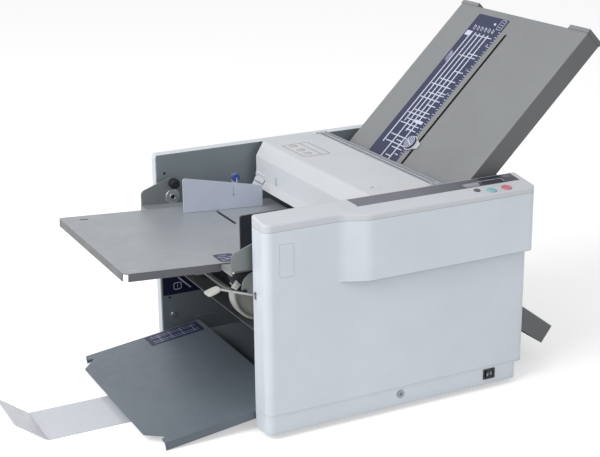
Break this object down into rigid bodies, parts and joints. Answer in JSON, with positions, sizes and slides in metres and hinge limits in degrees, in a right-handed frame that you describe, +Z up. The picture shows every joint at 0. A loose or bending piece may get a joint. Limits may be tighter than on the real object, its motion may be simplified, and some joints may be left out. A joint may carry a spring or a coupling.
{
  "type": "paper folding machine",
  "caption": "Desktop buckle folder: feed table with side guides and release lever, geared fold rollers, two fold plates with sliding stops, delivery wheels, catch tray.",
  "frame": {"origin": "middle of the machine's box, on the surface it stands on", "axes": "+X from the infeed and catch tray side to the fold plate side, +Y from the operator's side to the far side, +Z up"},
  "size_m": [0.9392, 0.4586, 0.5413],
  "materials": {
    "body_white": "fine-grained off-white moulded shell",
    "cap_white": "off-white moulded cap",
    "lid_white": "off-white moulded cover",
    "frame_grey": "dark green-grey powder coat",
    "plate_grey": "grey powder coat",
    "tray_grey": "grey powder coat",
    "channel_grey": "lilac-grey paint",
    "steel": "bright steel",
    "zinc": "zinc plated",
    "rubber_dark": "black rubber",
    "roller_rubber": "ground rubber",
    "black_plastic": "black moulded plastic",
    "strip_dark": "slate film",
    "window_tint": "tinted display window",
    "button_green": "green button",
    "button_red": "red button",
    "button_grey": "dark button",
    "blue_plastic": "blue knob",
    "guide_black": "black guide plate",
    "fence_light": "light lilac-grey fence",
    "ivory_plastic": "off-white plastic",
    "gear_plastic": "acetal gear",
    "motor_black": "black motor case",
    "bronze": "sintered bronze bush",
    "stop_glossy": "glossy light sheet",
    "dial_navy": "navy knob face"
  },
  "bodies": {
    "chassis": {"base_pan": "frame_grey", "near_side_frame": "frame_grey", "far_side_frame": "frame_grey", "near_cover": "body_white", "near_top_cap": "cap_white", "near_plinth": "body_white", "far_cover": "body_white", "rear_panel": "frame_grey", "rear_channel": "channel_grey", "rubber_feet": "rubber_dark", "cover_screws": "zinc", "cross_bars": "steel", "control_strip": "strip_dark", "display_window": "window_tint", "switch_bezel": "black_plastic", "power_inlet": "black_plastic", "separator_pad": "rubber_dark", "shaft_bushes": "bronze", "drive_motor": "motor_black", "drive_belt": "rubber_dark", "feed_belt": "rubber_dark", "delivery_belt": "rubber_dark", "exit_chute": "frame_grey", "exit_deflector": "guide_black", "catch_tray": "tray_grey", "fold_plate_1": "plate_grey", "plate_1_caps": "plate_grey", "fold_plate_2": "plate_grey"},
    "lid": {"top_cover": "lid_white"},
    "table": {"feed_table": "plate_grey", "table_carrier": "tray_grey"},
    "lever": {"release_lever": "zinc", "lever_tip": "ivory_plastic"},
    "near_guide": {"near_guide": "guide_black"},
    "far_guide": {"far_guide": "fence_light"},
    "skew_knob": {"skew_knob": "blue_plastic"},
    "table_knob": {"table_knob": "black_plastic"},
    "feed_roller": {"feed_shaft": "steel", "feed_tyres": "roller_rubber"},
    "roller_a": {"fold_roller_a": "roller_rubber", "gear_a": "gear_plastic"},
    "roller_b": {"fold_roller_b": "roller_rubber", "gear_b": "gear_plastic"},
    "roller_c": {"fold_roller_c": "roller_rubber", "gear_c": "gear_plastic"},
    "roller_d": {"fold_roller_d": "roller_rubber", "gear_d": "gear_plastic"},
    "motor_rotor": {"motor_pulley": "steel"},
    "delivery": {"delivery_shaft": "steel"},
    "near_wheel": {"near_wheel": "ivory_plastic"},
    "far_wheel": {"far_wheel": "ivory_plastic"},
    "start_button": {"start_button": "button_green"},
    "stop_button": {"stop_button": "button_red"},
    "reset_button": {"reset_button": "button_grey"},
    "rocker": {"rocker_switch": "black_plastic"},
    "fold_stop_1": {"fold_stop_1": "ivory_plastic"},
    "stop_knob_1": {"stop_knob_1": "dial_navy"},
    "fold_stop_2": {"fold_stop_2": "ivory_plastic"},
    "stop_knob_2": {"stop_knob_2": "dial_navy"},
    "paper_stop": {"paper_stop": "stop_glossy"}
  },
  "joints": [
    {"name": "lid_hinge", "type": "hinge", "parent": "chassis", "child": "lid", "pos_m": [0.1529, 0.01605, 0.3293], "axis": [0, 1, 0], "range_deg": [0, 80]},
    {"name": "table_tilt", "type": "hinge", "parent": "chassis", "child": "table", "pos_m": [-0.1152, 0.01605, 0.2603], "axis": [0, 1, 0], "range_deg": [0, 3]},
    {"name": "lever_swing", "type": "hinge", "parent": "chassis", "child": "lever", "pos_m": [-0.1216, -0.1791, 0.2094], "axis": [0, 1, 0], "range_deg": [-9, 0]},
    {"name": "near_guide_slide", "type": "slide", "parent": "table", "child": "near_guide", "axis": [0, 1, 0], "range_m": [-0.03, 0.07]},
    {"name": "far_guide_slide", "type": "slide", "parent": "table", "child": "far_guide", "axis": [0, 1, 0], "range_m": [-0.07, 0.026]},
    {"name": "skew_turn", "type": "hinge", "parent": "far_guide", "child": "skew_knob", "pos_m": [-0.0279, 0.1239, 0.2966], "axis": [0, 1, 0], "range_deg": [-40, 40]},
    {"name": "table_knob_turn", "type": "hinge", "parent": "table", "child": "table_knob", "pos_m": [-0.1136, 0.1942, 0.284], "axis": [0, 1, 0], "range_deg": [-180, 180]},
    {"name": "roller_b_spin", "type": "hinge", "parent": "chassis", "child": "roller_b", "pos_m": [0.1535, 0.01605, 0.2359], "axis": [0, 1, 0], "continuous": true},
    {"name": "roller_a_spin", "type": "hinge", "parent": "chassis", "child": "roller_a", "pos_m": [0.14329, 0.01605, 0.26411], "axis": [0, 1, 0], "continuous": true},
    {"name": "roller_c_spin", "type": "hinge", "parent": "chassis", "child": "roller_c", "pos_m": [0.18304, 0.01605, 0.24111], "axis": [0, 1, 0], "continuous": true},
    {"name": "roller_d_spin", "type": "hinge", "parent": "chassis", "child": "roller_d", "pos_m": [0.15653, 0.01605, 0.20605], "axis": [0, 1, 0], "continuous": true},
    {"name": "feed_spin", "type": "hinge", "parent": "chassis", "child": "feed_roller", "pos_m": [0.0644, 0.01605, 0.278], "axis": [0, 1, 0], "continuous": true},
    {"name": "motor_spin", "type": "hinge", "parent": "chassis", "child": "motor_rotor", "pos_m": [0.2434, -0.2041, 0.075], "axis": [0, 1, 0], "continuous": true},
    {"name": "delivery_spin", "type": "hinge", "parent": "chassis", "child": "delivery", "pos_m": [-0.0966, 0.01605, 0.1884], "axis": [0, 1, 0], "continuous": true},
    {"name": "near_wheel_slide", "type": "slide", "parent": "delivery", "child": "near_wheel", "axis": [0, 1, 0], "range_m": [-0.02, 0.1]},
    {"name": "far_wheel_slide", "type": "slide", "parent": "delivery", "child": "far_wheel", "axis": [0, 1, 0], "range_m": [-0.075, 0.02]},
    {"name": "start_button_press", "type": "slide", "parent": "chassis", "child": "start_button", "axis": [0, 0.1444, -0.9895], "range_m": [0, 0.0016], "stiffness_N_per_m": 300, "springref_m": -0.001},
    {"name": "stop_button_press", "type": "slide", "parent": "chassis", "child": "stop_button", "axis": [0, 0.1444, -0.9895], "range_m": [0, 0.0016], "stiffness_N_per_m": 300, "springref_m": -0.001},
    {"name": "reset_button_press", "type": "slide", "parent": "chassis", "child": "reset_button", "axis": [0, 0.1444, -0.9895], "range_m": [0, 0.0016], "stiffness_N_per_m": 300, "springref_m": -0.001},
    {"name": "rocker_tilt", "type": "hinge", "parent": "chassis", "child": "rocker", "pos_m": [0.2419, -0.2126, 0.026], "axis": [0, 0, 1], "range_deg": [-12, 0]},
    {"name": "fold_stop_1_slide", "type": "slide", "parent": "chassis", "child": "fold_stop_1", "axis": [0.7157, 0, 0.6984], "range_m": [-0.032, 0.23]},
    {"name": "stop_knob_1_turn", "type": "hinge", "parent": "fold_stop_1", "child": "stop_knob_1", "pos_m": [0.24231, 0.0264, 0.34194], "axis": [-0.6984, 0, 0.7157], "range_deg": [-90, 90]},
    {"name": "fold_stop_2_slide", "type": "slide", "parent": "chassis", "child": "fold_stop_2", "axis": [0.7986, 0, -0.6018], "range_m": [-0.075, 0.09]},
    {"name": "stop_knob_2_turn", "type": "hinge", "parent": "fold_stop_2", "child": "stop_knob_2", "pos_m": [0.30666, 0.0264, 0.12781], "axis": [0.6018, 0, 0.7986], "range_deg": [-90, 90]},
    {"name": "paper_stop_slide", "type": "slide", "parent": "chassis", "child": "paper_stop", "axis": [1, 0, 0], "range_m": [-0.04, 0.04]}
  ],
  "couplings": [
    {"joint": "lever_swing", "follows": "table_tilt", "ratio": -3},
    {"joint": "roller_a_spin", "follows": "roller_b_spin", "ratio": -1},
    {"joint": "roller_c_spin", "follows": "roller_b_spin", "ratio": -1},
    {"joint": "roller_d_spin", "follows": "roller_b_spin", "ratio": -1},
    {"joint": "feed_spin", "follows": "roller_b_spin", "ratio": -1},
    {"joint": "motor_spin", "follows": "roller_b_spin", "ratio": -2},
    {"joint": "delivery_spin", "follows": "roller_b_spin", "ratio": 1}
  ]
}
